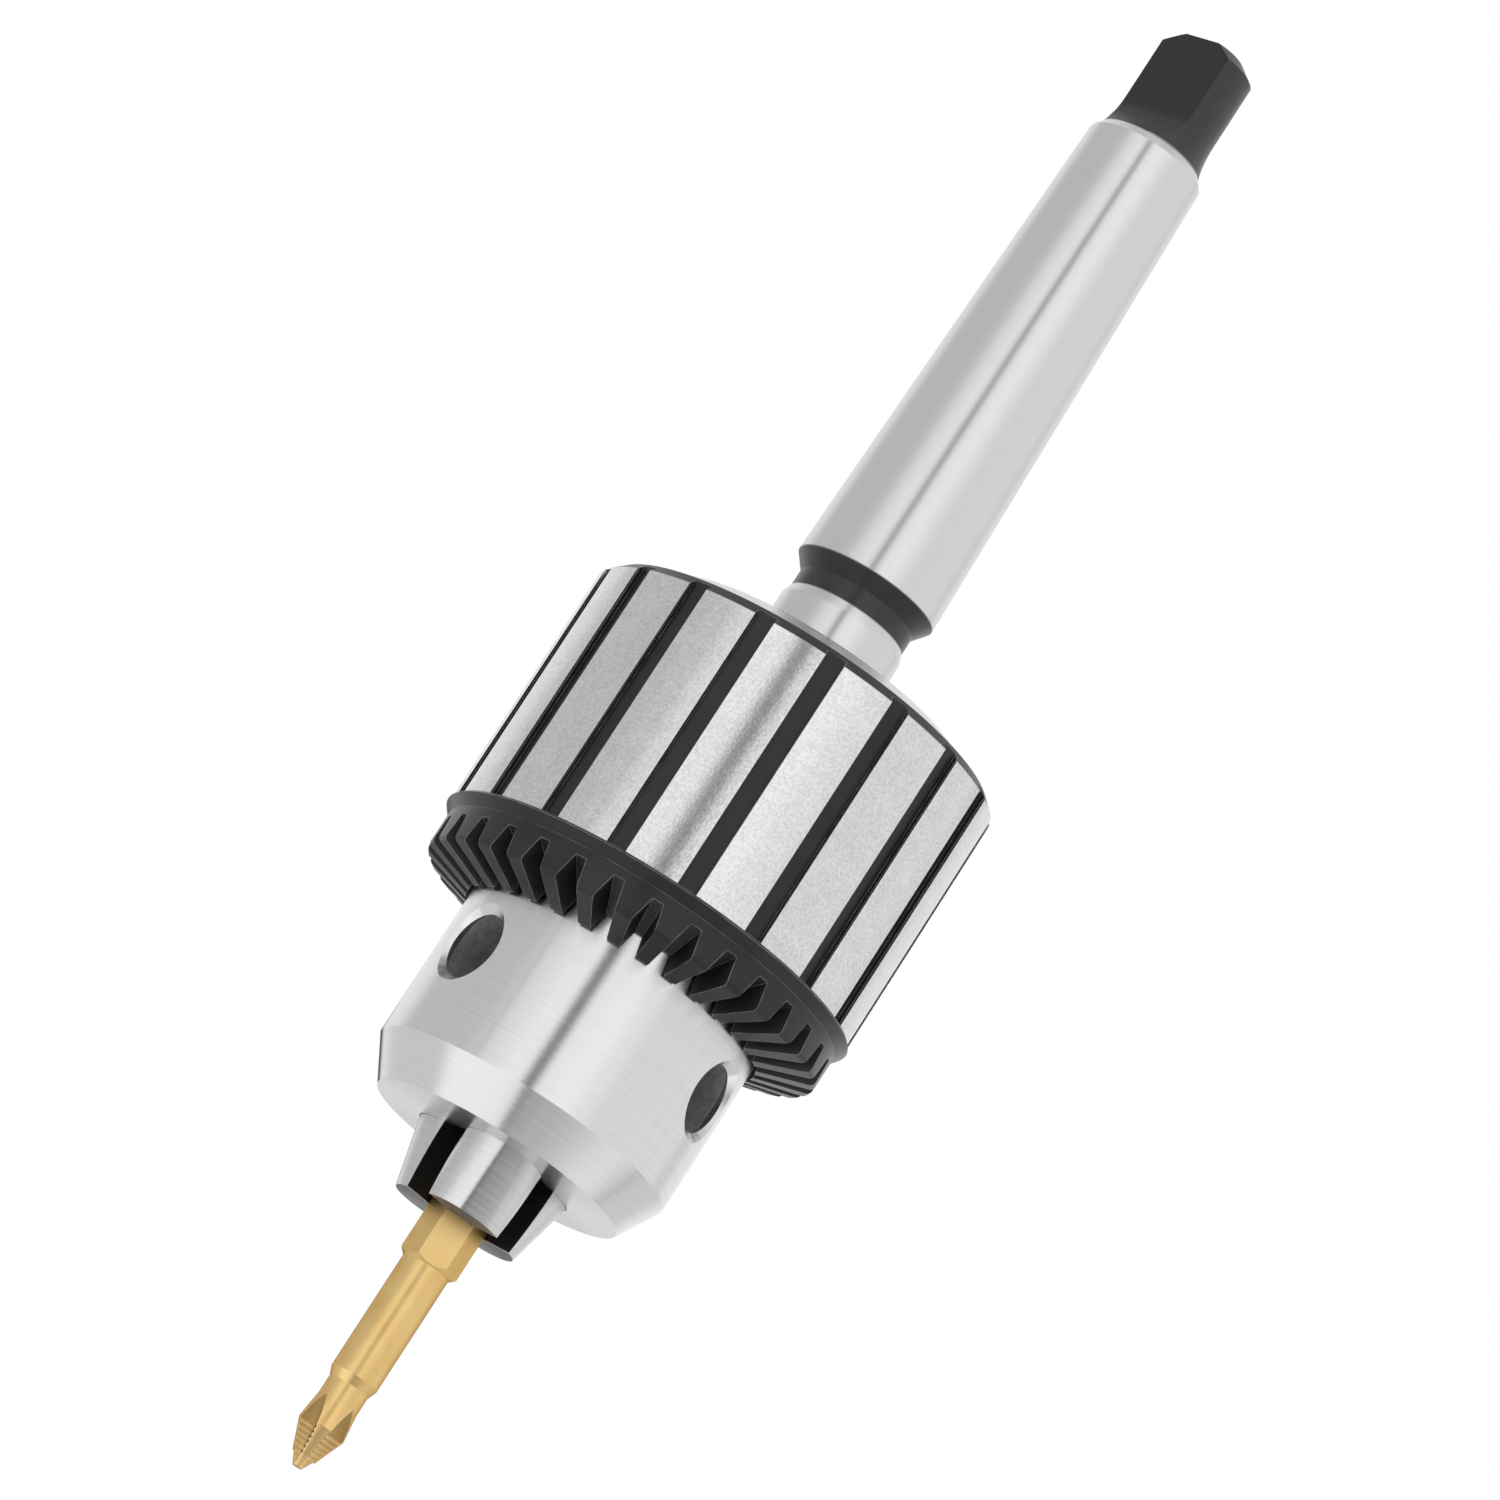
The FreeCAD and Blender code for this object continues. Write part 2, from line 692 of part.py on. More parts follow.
def cut_jaw_thread(body, label, space_level):
    """Grooves across the back of a jaw, a pitch apart, that the ridges of the nut run in.

    Each groove leans by the lead angle of the thread and has the nut's middle radius.
    """
    pitch = cell("thread_pitch")
    level = space_level + pitch / 2 - pitch * cell("jaw_thread_turns_below")
    middle = jaw_back_radius((sleeve_floor + nut_top) / 2)
    lead = math.degrees(math.atan(pitch.value / (2 * math.pi * middle.value)))
    sketch = new_sketch(body, label + "_outline", "XZ_Plane")
    centre = jaw_back_radius(level) - middle
    sketch.AttachmentOffset = FreeCAD.Placement(
        FreeCAD.Vector(centre.value, level.value, 0),
        FreeCAD.Rotation(FreeCAD.Vector(1, 0, 0), lead),
    )
    sketch.setExpression(".AttachmentOffset.Base.x", centre.text)
    sketch.setExpression(".AttachmentOffset.Base.y", level.text)
    mouth = cell("thread_mouth") / 2
    floor = middle - cell("thread_depth")
    opening = middle + cell("jaw_thread_overcut")
    floor_side = mouth - cell("thread_depth") * cell("thread_flank")
    open_side = mouth + (opening - middle) * cell("thread_flank")
    outline(sketch, [
        (floor, -floor_side), (floor, floor_side), (opening, open_side), (opening, -open_side),
    ])
    groove = turn(body, label + "_groove", sketch, "Groove")
    spacing = pitch / jaw_cosine
    pattern = body.newObject("PartDesign::LinearPattern", label)
    pattern.Originals = [groove]
    pattern.Direction = (body.getObject(body.Label + "_bar_outline"), ["Axis0"])
    pattern.Mode = "Spacing"
    pattern.Offset = spacing.value
    pattern.setExpression("Offset", spacing.text)
    pattern.Occurrences = int(sheet.jaw_thread_count)
    pattern.setExpression("Occurrences", "Dimensions.jaw_thread_count")
    body.Tip = pattern


def jaw_faces():
    """What the gripping land and the two side faces of a jaw leave open, seen along the axis."""
    land = grip_radius + cell("jaw_grip_clearance")
    side = cell("jaw_land_closed") * root_three
    reach = cell("jaw_diameter")
    slope_end = land + (reach - side) / root_three
    return [
        (land, side), (land, -side), (slope_end, -reach),
        (-reach, -reach), (-reach, reach), (slope_end, reach),
    ]


def make_driver_bit():
    """A quarter inch hexagonal bit with a round shank, a waist and a fluted cross point."""
    body = new_body("driver_bit")
    flat = radius("bit_across_flats")
    corner = flat * 2 / root_three
    top = bit_tip + cell("bit_length")
    hex_end = jaw_tip - cell("bit_hex_reach")
    shank = radius("bit_shank_diameter")
    sketch = new_sketch(body, "hexagon", "XY_Plane", lift=hex_end)
    outline(sketch, [
        (flat, corner / 2), (constant(0.0), corner), (-flat, corner / 2),
        (-flat, -corner / 2), (constant(0.0), -corner), (flat, -corner / 2),
    ])
    pad = body.newObject("PartDesign::Pad", "hexagon_bar")
    pad.Profile = sketch
    pad.Length = (top - hex_end).value
    pad.setExpression("Length", (top - hex_end).text)
    slope = cell("bit_hex_end_slope")
    outside = corner + slope
    inside = corner - slope
    turned(body, "hexagon_top_edge", [
        (inside, top), (outside, top - slope * 2), (outside, top),
    ], kind="Groove")
    turned(body, "hexagon_foot_edge", [
        (shank, hex_end), (outside, hex_end + (outside - shank)), (outside, hex_end),
    ], kind="Groove")
    groove_top = top - cell("bit_groove_start")
    groove_bottom = top - cell("bit_groove_end")
    turned(body, "catch_groove", [
        (outside, groove_top + cell("bit_groove_slope")),
        (outside, groove_bottom - cell("bit_groove_slope")),
        (radius("bit_groove_diameter"), groove_bottom),
        (radius("bit_groove_diameter"), groove_top),
    ], kind="Groove")
    turned(body, "shank_and_point", [
        (constant(0.0), hex_end + CLEAR),
        (shank, hex_end + CLEAR),
        (shank, jaw_tip - cell("bit_shoulder_reach")),
        (radius("bit_neck_diameter"), jaw_tip - cell("bit_neck_start_reach")),
        (radius("bit_neck_diameter"), jaw_tip - cell("bit_neck_end_reach")),
        (radius("bit_wing_diameter"), jaw_tip - cell("bit_wing_reach")),
        (radius("bit_wing_end_diameter"), jaw_tip - cell("bit_wing_end_reach")),
        (radius("bit_core_diameter"), jaw_tip - cell("bit_wing_end_reach")),
        (radius("bit_tip_diameter"), bit_tip),
        (constant(0.0), bit_tip),
    ])
    flute = body.newObject("PartDesign::SubtractiveLoft", "flute")
    sections = [
        flute_section(body, f"flute_section_{number}", bit_tip + cell(f"flute_rise_{number}"),
                      cell(f"flute_wing_{number}"))
        for number in range(1, FLUTE_SECTIONS + 1)
    ]
    flute.Profile = sections[0]
    flute.Sections = sections[1:]
    cuts = [flute]
    for number in range(int(sheet.rib_count)):
        rise = cell("rib_first_rise") + cell("rib_spacing") * number
        wing = flute_wing(rise) - cell("rib_depth")
        section = flute_section(body, f"rib_outline_{number + 1}", bit_tip + rise, wing)
        cuts.append(pocket(body, f"rib_gap_{number + 1}", section, depth=cell("rib_gap")))
    flutes = repeated(body, "flutes", flute, count_alias="bit_flutes")
    flutes.Originals = cuts
    turn_to(body, FRONT_TURN)
    return body


def flute_wing(rise):
    """Half the thickness of a wing that far above the bit's end, straight between two sections."""
    number = 1
    while cell(f"flute_rise_{number + 1}").value < rise.value:
        number += 1
    low = cell(f"flute_rise_{number}")
    wing = cell(f"flute_wing_{number}")
    share = (rise - low) / (cell(f"flute_rise_{number + 1}") - low)
    return wing + (cell(f"flute_wing_{number + 1}") - wing) * share


def flute_section(body, label, level, wing):
    """A square corner open between two wings, which leaves wings of that half thickness."""
    outside = cell("bit_wing_diameter")
    sketch = new_sketch(body, label, "XY_Plane", lift=level)
    return outline(sketch, [(wing, wing), (outside, wing), (outside, outside), (wing, outside)])


parts = [make_arbor(), make_chuck_body(), make_sleeve()]
for number, label in enumerate(("split_nut_half_a", "split_nut_half_b")):
    half = make_nut_half(label, number)
    turn_to(half, FRONT_TURN + 180 * number)
    parts.append(half)
parts += [make_jaw(f"jaw_{number + 1}", number) for number in range(JAW_COUNT)]
parts.append(make_driver_bit())
doc.recompute()

for item in doc.Objects:
    if "Invalid" in item.State or "Error" in item.State:
        raise RuntimeError(f"{item.Label}: {item.State}")
os.makedirs("parts", exist_ok=True)
for body in parts:
    if body.Shape.isNull() or not body.Shape.isValid():
        raise RuntimeError(f"{body.Label} has no valid shape")
    if len(body.Shape.Solids) != 1:
        raise RuntimeError(f"{body.Label} is not one solid")
    body.Shape.exportStep(f"parts/{body.Label}.step")
    print(body.Label, round(body.Shape.Volume, 2), body.Shape.BoundBox)
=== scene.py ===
import math

import bpy
from mathutils import Matrix, Vector


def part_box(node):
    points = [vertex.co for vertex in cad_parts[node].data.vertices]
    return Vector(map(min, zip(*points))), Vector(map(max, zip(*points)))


# Looks for a keyed drill chuck. Metres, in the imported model's frame: the axis is Z, the tang is
# up and the first jaw faces within 3 degrees of -Y.

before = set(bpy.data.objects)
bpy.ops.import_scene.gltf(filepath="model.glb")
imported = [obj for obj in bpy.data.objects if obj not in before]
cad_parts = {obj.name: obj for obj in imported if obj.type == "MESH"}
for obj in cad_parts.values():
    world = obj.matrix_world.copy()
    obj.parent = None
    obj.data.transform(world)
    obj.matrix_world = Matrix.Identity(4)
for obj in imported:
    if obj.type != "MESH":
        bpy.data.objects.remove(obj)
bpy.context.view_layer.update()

MM = 0.001

# The camera looks up at the chuck from in front of the first jaw, and leans to one side
CAMERA_DISTANCE = 0.8996
CAMERA_RISE = math.radians(13.97)
CAMERA_ROLL = math.radians(33.0)
CAMERA_LENS = 189.6
SENSOR_WIDTH = 36.0
AIM_ASIDE = -1.14 * MM
AIM_BELOW_SLEEVE_TOP = 8.6 * MM

# The floor lies far down, so that it doesn't hide the chuck from below
FLOOR_LEVEL = -1.48
FLOOR_SIZE = 18.7
FLOOR_TONE = 0.85
FLOOR_ROUGHNESS = 0.9

# Lamps: where they hang, how wide they are and their power in watts
KEY_LIGHT = ((0.5, -0.7, 0.5), 0.5, 0.6)
FILL_LIGHT = ((-0.6, -0.6, 0.1), 0.6, 0.8)

# Where the things that the metal mirrors lie: bearings about the object, counted from -Y, the
# camera's side. The front strip, the thin one, the rear one and the left shade are towards -X,
# the faded strip is towards +X, and the sheen is on both sides.
STRIP_NEAR = math.radians(5.5)
STRIP_FAR = math.radians(14.0)
STRIP_SOFT = math.radians(2.5)
THIN_NEAR = math.radians(51.0)
THIN_FAR = math.radians(54.0)
THIN_SOFT = math.radians(1.5)
LEFT_NEAR = math.radians(56.0)
LEFT_FAR = math.radians(130.0)
LEFT_SOFT = math.radians(8.0)
REAR_NEAR = math.radians(161.0)
REAR_FAR = math.radians(170.0)
FADED_NEAR = math.radians(120.0)
FADED_FAR = math.radians(134.0)
FADED_SOFT = math.radians(5.0)
SHEEN_REACH = math.radians(50.0)

# How steeply a mirrored ray rises where the rear strip fades out and where the low shade comes in
REAR_START = 0.03
REAR_END = 0.1
LOW_START = -0.1
LOW_END = -0.35

# How light the mirrored things are, and how much of each is laid over the white
WHITE = 1.0
SHEEN_TONE = 1.3
SHADE_TONE = 0.2
THIN_TONE = 0.1
STRIP_TONE = 0.04
STRIP_SHARE = 0.95
THIN_SHARE = 0.5
FADED_SHARE = 0.2
LEFT_SHARE = 0.38
LEFT_LOW_SHARE = 0.22
STREAKS = 9.0
STREAK_START = 0.3
STREAK_END = 0.7
STREAK_DEPTH = 0.1

# Curved cards, met by mirrored rays that go down. Each tone pair goes along the card.
CARD_DISTANCE = 0.3
CARD_STEPS = 24
CARD_DROP = 0.06
CARD_BOTTOM = -0.42
REAR_CARD_TOP = -0.02
LEFT_REACH = math.radians(80.0)
RIGHT_REACH = math.radians(105.0)
DARK_CARD_TONES = (STRIP_TONE, STRIP_TONE)
GREY_CARD_TONES = (0.4, 1.45)
WHITE_CARD_TONES = (1.25, 1.35)
CARD_SHADE = 0.66
CARD_SHADE_TONE = 0.1
CARD_SHADE_START = -0.32
CARD_SHADE_END = -0.2

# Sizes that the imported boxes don't give
SLEEVE_RADIUS = 26.5 * MM
LAND_HEIGHT = 31.0 * MM
RIM_HEIGHT = 1.3 * MM
LAND_SKIN = 0.35 * MM
NOSE_CONE_HEIGHT = 5.2 * MM
NOSE_CONE_SLIM = 2.9 * MM
NOSE_RADIUS = 18.8 * MM
COUNTERSINK = 1.0 * MM
TANG_HEIGHT = 14.7 * MM
NECK_TOP = -5.0 * MM
NECK_BOTTOM = -9.35 * MM

# Over what length one look passes into the next, and for the nose at what height above its face
TANG_BLUR = 0.3 * MM
NECK_BLUR = 0.15 * MM
LAND_BLUR = 0.08 * MM
HOLE_BLUR = 0.3 * MM
REAR_BLUR = 0.2 * MM
MOUTH_START = 0.1 * MM
MOUTH_END = 0.6 * MM
KEY_HOLE_START = 9.0 * MM
KEY_HOLE_END = 11.5 * MM

# Directions of faces, as turns about the axis
FRONT_TURN = math.radians(-87.0)
JAW_SPACING = math.radians(120.0)
JAW_FACE_TURN = math.radians(150.0)
TANG_TURN = math.radians(-131.0)

# How squarely a surface has to face one way to count as that face
SIDE_START = 0.96
SIDE_END = 0.99
END_START = 0.9
FLANK_FULL = 0.2
FLANK_GONE = 0.8

# What several metals share. Gloss is the strength of the mirror on what isn't bare metal.
COOLNESS = 1.01
RING_STRETCH = 12.0
BUMP_DEPTH = 0.05 * MM
EDGE_SAMPLES = 6
EDGE_SHARP = 0.9
EDGE_FLAT = 0.995
QUARTER_TURN = 0.25
PLAIN_GLOSS = 0.5
TANG_GLOSS = 0.6
BLACK_GLOSS = 0.35
OXIDE_METALLIC = 0.1
HOLE_METALLIC = 0.35

# Tones. A pair goes from one end of a pattern to the other.
SHANK_TONES = (0.6, 0.74)
TANG_TONES = (0.01, 0.024)
TANG_FLAT_TONE = 0.004
BODY_TONES = (0.64, 0.75)
# Painted shade in the body's holes: the jaws' bores, then the key holes
JAW_BORE_SHADE_TONE = 0.04
KEY_HOLE_SHADE_TONES = (0.14, 0.42)
LAND_TONES = (0.6, 0.74)
OXIDE_TONES = (0.011, 0.024)
# Painted highlight along the oxide's edges
OXIDE_EDGE_HIGHLIGHT_TONE = 0.5
JAW_TONES = (0.56, 0.7)
# Painted shade on the jaws' end faces
JAW_END_SHADE_TONE = 0.2
JAW_SIDE_TONE = 0.014
# Painted highlight along the jaws' edges
JAW_EDGE_HIGHLIGHT_TONE = 0.8
NUT_TONES = (0.06, 0.12)
GOLD_DEEP = (0.73, 0.46, 0.155, 1.0)
GOLD_PALE = (0.84, 0.63, 0.295, 1.0)
# Painted shade on the gold's flanks
GOLD_SHADE_BROWN = (0.5, 0.25, 0.06, 1.0)
# Painted highlight along the gold's edges
GOLD_EDGE_HIGHLIGHT = (0.99, 0.88, 0.58, 1.0)
GOLD_GRAZING = (0.52, 0.4, 0.33, 1.0)

# Roughness, in pairs in the same way, and what a pattern or a hole adds to it
SHANK_ROUGHNESS = 0.29
TANG_ROUGHNESS = 0.36
SHANK_LINE_ROUGHNESS = 0.04
BODY_ROUGHNESS = (0.22, 0.26)
HOLE_ROUGHNESS = 0.3
LAND_ROUGHNESS = 0.25
OXIDE_ROUGHNESS = 0.38
JAW_ROUGHNESS = (0.2, 0.28)
JAW_END_ROUGHNESS = 0.25
NUT_ROUGHNESS = (0.35, 0.5)
GOLD_ROUGHNESS = (0.31, 0.37)

# Patterns: tool marks and noise per metre, and the widths of the painted edge highlights
SHANK_LINES = 6500.0
BODY_LINES = 3200.0
JAW_LINES = 2600.0
NUT_LINES = 3000.0
GOLD_LINES = 4200.0
TANG_NOISE = 900.0
HOLE_NOISE = 1400.0
MOTTLE_NOISE = 420.0
GRAIN_NOISE = 3000.0
NUT_NOISE = 600.0
GOLD_NOISE = 350.0
SLEEVE_HIGHLIGHT_WIDTH = 0.16 * MM
JAW_HIGHLIGHT_WIDTH = 0.2 * MM
GOLD_HIGHLIGHT_WIDTH = 0.12 * MM

# How strongly the patterns, the painted edge highlights and the gold's painted shade show
MOTTLE_SHARE = 0.3
SPECKLE_START = 0.45
SPECKLE_END = 0.85
HIGHLIGHT_PATCH_START = 0.3
HIGHLIGHT_PATCH_END = 0.6
LEAST_HIGHLIGHT = 0.12
MOST_HIGHLIGHT = 0.5
GOLD_HIGHLIGHT_SHARE = 0.6
FLANK_SHADE_SHARE = 0.8


class Graph:
    """A node tree with short ways to add what the materials here need."""

    def __init__(self, tree):
        self.tree = tree
        tree.nodes.clear()

    def add(self, kind, inputs=None, **settings):
        node = self.tree.nodes.new(kind)
        for name, value in settings.items():
            setattr(node, name, value)
        for key, value in (inputs or {}).items():
            self.feed(node.inputs[key], value)
        return node

    def feed(self, socket, value):
        if isinstance(value, bpy.types.NodeSocket):
            self.tree.links.new(value, socket)
        else:
            socket.default_value = value

    def math(self, operation, *values):
        node = self.add("ShaderNodeMath", operation=operation)
        for socket, value in zip(node.inputs, values):
            self.feed(socket, value)
        return node.outputs[0]

    def step(self, value, low, high, start=0.0, end=1.0):
        """Eases from start to end while the value goes from low to high."""
        node = self.add("ShaderNodeMapRange", interpolation_type="SMOOTHSTEP", inputs={
            "Value": value, "From Min": low, "From Max": high, "To Min": start, "To Max": end})
        return node.outputs["Result"]

    def ease(self, share, start, end):
        """Eases from start to end while the share goes from zero to one."""
        return self.step(share, 0.0, 1.0, start, end)

    def band(self, value, low, high, soft):
        """One between low and high, and zero outside them."""
        rise = self.step(value, low - soft, low + soft)
        fall = self.step(value, high - soft, high + soft, 1.0, 0.0)
        return self.math("MULTIPLY", rise, fall)

    def mix(self, share, first, second):
        node = self.add("ShaderNodeMix", data_type="RGBA")
        for socket, value in zip((node.inputs[0], node.inputs[6], node.inputs[7]),
                                 (share, first, second)):
            self.feed(socket, value)
        return node.outputs[2]

    def greys(self, share, tones):
        """A grey that goes from the first tone to the second with the share."""
        first, second = tones
        return self.mix(share, grey(first), grey(second))

    def noise(self, vector, scale, detail=3.0):
        node = self.add("ShaderNodeTexNoise", inputs={
            "Vector": vector, "Scale": scale, "Detail": detail})
        return node.outputs["Fac"]


def grey(level):
    """A grey with a trace of blue."""
    return (level, level, level * COOLNESS, 1.0)


class Surface(Graph):
    """A metal made in the piece's own coordinates, which are the model's while it is at rest."""

    def __init__(self, name):
        self.material = bpy.data.materials.new(name)
        self.material.use_nodes = True
        super().__init__(self.material.node_tree)
        coordinates = self.add("ShaderNodeTexCoord")
        self.place = coordinates.outputs["Object"]
        self.normal = coordinates.outputs["Normal"]
        split = self.add("ShaderNodeSeparateXYZ", inputs={0: self.place})
        self.x, self.y, self.z = split.outputs
        squares = [self.math("MULTIPLY", value, value) for value in (self.x, self.y)]
        self.radius = self.math("SQRT", self.math("ADD", *squares))

    def rings(self, per_metre):
        """Fine lines round the axis, as a lathe or grinder leaves them."""
        flat = self.add("ShaderNodeVectorMath", operation="MULTIPLY", inputs={
            0: self.place, 1: (RING_STRETCH, RING_STRETCH, per_metre)})
        return self.noise(flat.outputs[0], 1.0, detail=4.0)

    def facing(self, x, y, z):
        """How squarely the surface faces that way."""
        node = self.add("ShaderNodeVectorMath", operation="DOT_PRODUCT", inputs={
            0: self.normal, 1: (x, y, z)})
        return node.outputs["Value"]

    def facing_turn(self, turn):
        """How squarely the surface faces the way that lies at that turn about the axis."""
        return self.facing(math.cos(turn), math.sin(turn), 0.0)

    def outward(self):
        """How squarely the surface faces away from the axis."""
        flat = self.add("ShaderNodeVectorMath", operation="MULTIPLY", inputs={
            0: self.place, 1: (1.0, 1.0, 0.0)})
        away = self.add("ShaderNodeVectorMath", operation="NORMALIZE", inputs={
            0: flat.outputs[0]})
        node = self.add("ShaderNodeVectorMath", operation="DOT_PRODUCT", inputs={
            0: self.normal, 1: away.outputs[0]})
        return node.outputs["Value"]

    def sharp_edge(self, width):
        """One along the sharp edges, where the materials here paint highlights."""
        bevel = self.add("ShaderNodeBevel", samples=EDGE_SAMPLES, inputs={"Radius": width})
        geometry = self.add("ShaderNodeNewGeometry")
        likeness = self.add("ShaderNodeVectorMath", operation="DOT_PRODUCT", inputs={
            0: bevel.outputs[0], 1: geometry.outputs["Normal"]})
        return self.step(likeness.outputs["Value"], EDGE_SHARP, EDGE_FLAT, 1.0, 0.0)

    def finish(self, colour, roughness, height, bump, metallic=1.0, turned=0.0, gloss=PLAIN_GLOSS,
               grazing=None):
        """The shader. A turned surface mirrors sharply round the axis and softly along it."""
        lumps = self.add("ShaderNodeBump", inputs={
            "Strength": bump, "Distance": BUMP_DEPTH, "Height": height})
        shader = self.add("ShaderNodeBsdfPrincipled", inputs={
            "Base Color": colour, "Roughness": roughness, "Metallic": metallic,
            "Normal": lumps.outputs[0], "Specular IOR Level": gloss})
        if grazing:
            shader.inputs["Specular Tint"].default_value = grazing
        if turned:
            around = self.add("ShaderNodeTangent", direction_type="RADIAL", axis="Z")
            self.feed(shader.inputs["Tangent"], around.outputs[0])
            shader.inputs["Anisotropic"].default_value = turned
            shader.inputs["Anisotropic Rotation"].default_value = QUARTER_TURN
        output = self.add("ShaderNodeOutputMaterial")
        self.tree.links.new(shader.outputs[0], output.inputs[0])
        return self.material


def arbor_metal():
    """Ground shank, with the tang and the neck blackened and the tang's flats darkest."""
    s = Surface("ground_shank")
    tang = s.step(s.z, TANG_LEVEL - TANG_BLUR, TANG_LEVEL + TANG_BLUR)
    neck = s.band(s.z, NECK_BOTTOM, NECK_TOP, NECK_BLUR)
    black = s.math("MAXIMUM", tang, neck)
    bare = s.math("SUBTRACT", 1.0, black)
    lines = s.rings(SHANK_LINES)
    tone = s.greys(lines, SHANK_TONES)
    dark = s.greys(s.noise(s.place, TANG_NOISE), TANG_TONES)
    flat = s.math("ABSOLUTE", s.facing_turn(TANG_TURN))
    milled = s.math("MULTIPLY", tang, s.step(flat, SIDE_START, SIDE_END))
    colour = s.mix(bare, s.mix(milled, dark, grey(TANG_FLAT_TONE)), tone)
    rough = s.math("ADD", s.ease(bare, TANG_ROUGHNESS, SHANK_ROUGHNESS),
                   s.math("MULTIPLY", lines, SHANK_LINE_ROUGHNESS))
    return s.finish(colour, rough, lines, bump=0.02, metallic=s.ease(bare, OXIDE_METALLIC, 1.0),
                    turned=0.75, gloss=TANG_GLOSS)


def body_metal():
    """Turned body, bright outside, with painted shade in its holes: darkest in the jaws' bores, lighter
    and mottled in the key holes.
    """
    s = Surface("turned_body")
    skin = s.step(s.z, FRONT_FACE, FRONT_FACE + NOSE_CONE_HEIGHT,
                  NOSE_RADIUS - NOSE_CONE_SLIM, NOSE_RADIUS)
    depth = s.math("SUBTRACT", skin, s.radius)
    behind = s.step(depth, COUNTERSINK, COUNTERSINK + HOLE_BLUR)
    above = s.step(s.z, FRONT_FACE + MOUTH_START, FRONT_FACE + MOUTH_END)
    inside = s.math("MULTIPLY", behind, above)
    below = s.step(s.z, SLEEVE_TOP, SLEEVE_TOP + REAR_BLUR, 1.0, 0.0)
    hole = s.math("MULTIPLY", inside, below)
    lines = s.rings(BODY_LINES)
    tone = s.greys(lines, BODY_TONES)
    # Painted shade in the holes: darkest in the jaws' bores, lighter and mottled in the key holes
    lit = s.step(s.z, FRONT_FACE + KEY_HOLE_START, FRONT_FACE + KEY_HOLE_END)
    key_hole_shade = s.greys(s.noise(s.place, HOLE_NOISE), KEY_HOLE_SHADE_TONES)
    colour = s.mix(hole, tone, s.mix(lit, grey(JAW_BORE_SHADE_TONE), key_hole_shade))
    rough = s.math("ADD", s.ease(lines, *BODY_ROUGHNESS), s.math("MULTIPLY", hole, HOLE_ROUGHNESS))
    return s.finish(colour, rough, lines, bump=0.045, metallic=s.ease(hole, 1.0, HOLE_METALLIC),
                    turned=0.8)


def sleeve_metal():
    """Black oxide, with the lands ground bright between the grooves and a painted highlight along the
    oxide's sharp edges.
    """
    s = Surface("black_and_ground_sleeve")
    proud = s.step(s.radius, SLEEVE_RADIUS - LAND_SKIN, SLEEVE_RADIUS - LAND_SKIN / 2)
    along = s.band(s.z, LAND_BOTTOM, LAND_TOP, LAND_BLUR)
    land = s.math("MULTIPLY", proud, along)
    mottle = s.noise(s.place, MOTTLE_NOISE, detail=5.0)
    grain = s.noise(s.place, GRAIN_NOISE)
    both = s.math("ADD", s.math("MULTIPLY", mottle, MOTTLE_SHARE), grain)
    speckle = s.step(both, SPECKLE_START, SPECKLE_END)
    tone = s.greys(speckle, LAND_TONES)
    oxide = s.greys(mottle, OXIDE_TONES)
    # Painted highlight along the oxide's sharp edges, stronger in patches
    highlight_strength = s.step(mottle, HIGHLIGHT_PATCH_START, HIGHLIGHT_PATCH_END, LEAST_HIGHLIGHT, MOST_HIGHLIGHT)
    edge_highlight = s.math("MULTIPLY", s.sharp_edge(SLEEVE_HIGHLIGHT_WIDTH), highlight_strength)
    dark = s.mix(edge_highlight, oxide, grey(OXIDE_EDGE_HIGHLIGHT_TONE))
    colour = s.mix(land, dark, tone)
    rough = s.ease(land, OXIDE_ROUGHNESS, LAND_ROUGHNESS)
    return s.finish(colour, rough, grain, bump=0.17, metallic=s.ease(land, OXIDE_METALLIC, 1.0),
                    turned=0.8, gloss=BLACK_GLOSS)


def jaw_metal(number):
    """A ground jaw with its two slanted side faces blackened, painted shade on its end face and a
    painted highlight along its edges.
    """
    s = Surface(f"jaw_steel_{number}")
    turn = FRONT_TURN + JAW_SPACING * (number - 1)
    side = 0.0
    for way in (1, -1):
        facing = s.facing_turn(turn + way * JAW_FACE_TURN)
        side = s.math("MAXIMUM", side, s.step(facing, SIDE_START, SIDE_END))
    # Painted shade on the end face, which faces down
    end = s.step(s.facing(0.0, 0.0, -1.0), END_START, 1.0)
    grain = s.rings(JAW_LINES)
    tone = s.mix(end, s.greys(grain, JAW_TONES), grey(JAW_END_SHADE_TONE))
    # Painted highlight along the sharp edges
    edge_highlight = s.sharp_edge(JAW_HIGHLIGHT_WIDTH)
    colour = s.mix(edge_highlight, s.mix(side, tone, grey(JAW_SIDE_TONE)), grey(JAW_EDGE_HIGHLIGHT_TONE))
    rough = s.math("ADD", s.ease(grain, *JAW_ROUGHNESS), s.math("MULTIPLY", end, JAW_END_ROUGHNESS))
    return s.finish(colour, rough, grain, bump=0.06, metallic=s.ease(side, 1.0, OXIDE_METALLIC),
                    turned=0.75, gloss=BLACK_GLOSS)


def nut_metal():
    """Hardened and oiled, dark."""
    s = Surface("hardened_nut")
    patch = s.noise(s.place, NUT_NOISE)
    return s.finish(s.greys(patch, NUT_TONES), s.ease(patch, *NUT_ROUGHNESS), s.rings(NUT_LINES),
                    bump=0.15)


